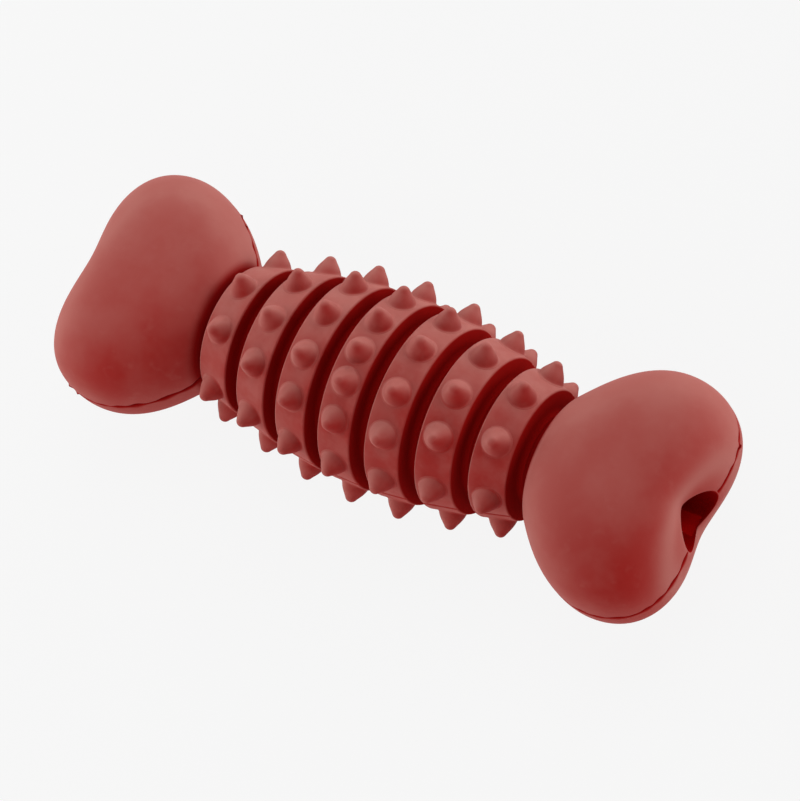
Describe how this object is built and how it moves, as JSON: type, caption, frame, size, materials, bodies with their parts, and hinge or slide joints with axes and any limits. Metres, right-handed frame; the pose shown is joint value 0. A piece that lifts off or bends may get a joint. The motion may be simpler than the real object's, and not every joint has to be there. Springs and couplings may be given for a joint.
{
  "type": "dog chew toy",
  "caption": "Red rubber dog bone with studded chewing rings between two lobed knobs and a bore along its length.",
  "frame": {"origin": "centre of the bone, on the bore's axis and in the mould's parting plane", "axes": "+X along the bone towards the knob nearest the viewer in the picture, +Y across the lobes, +Z square to the parting plane"},
  "size_m": [0.15, 0.0526, 0.0486],
  "materials": {
    "rubber": "matte"
  },
  "bodies": {
    "root": {"core_tube": "rubber", "end_knob_left": "rubber", "end_knob_right": "rubber", "ring_1": "rubber", "ring_2": "rubber", "ring_3": "rubber", "ring_4": "rubber", "ring_5": "rubber", "ring_6": "rubber", "ring_7": "rubber", "nubs_1": "rubber", "nubs_2": "rubber", "nubs_3": "rubber", "nubs_4": "rubber", "nubs_5": "rubber", "nubs_6": "rubber", "nubs_7": "rubber"}
  },
  "joints": []
}
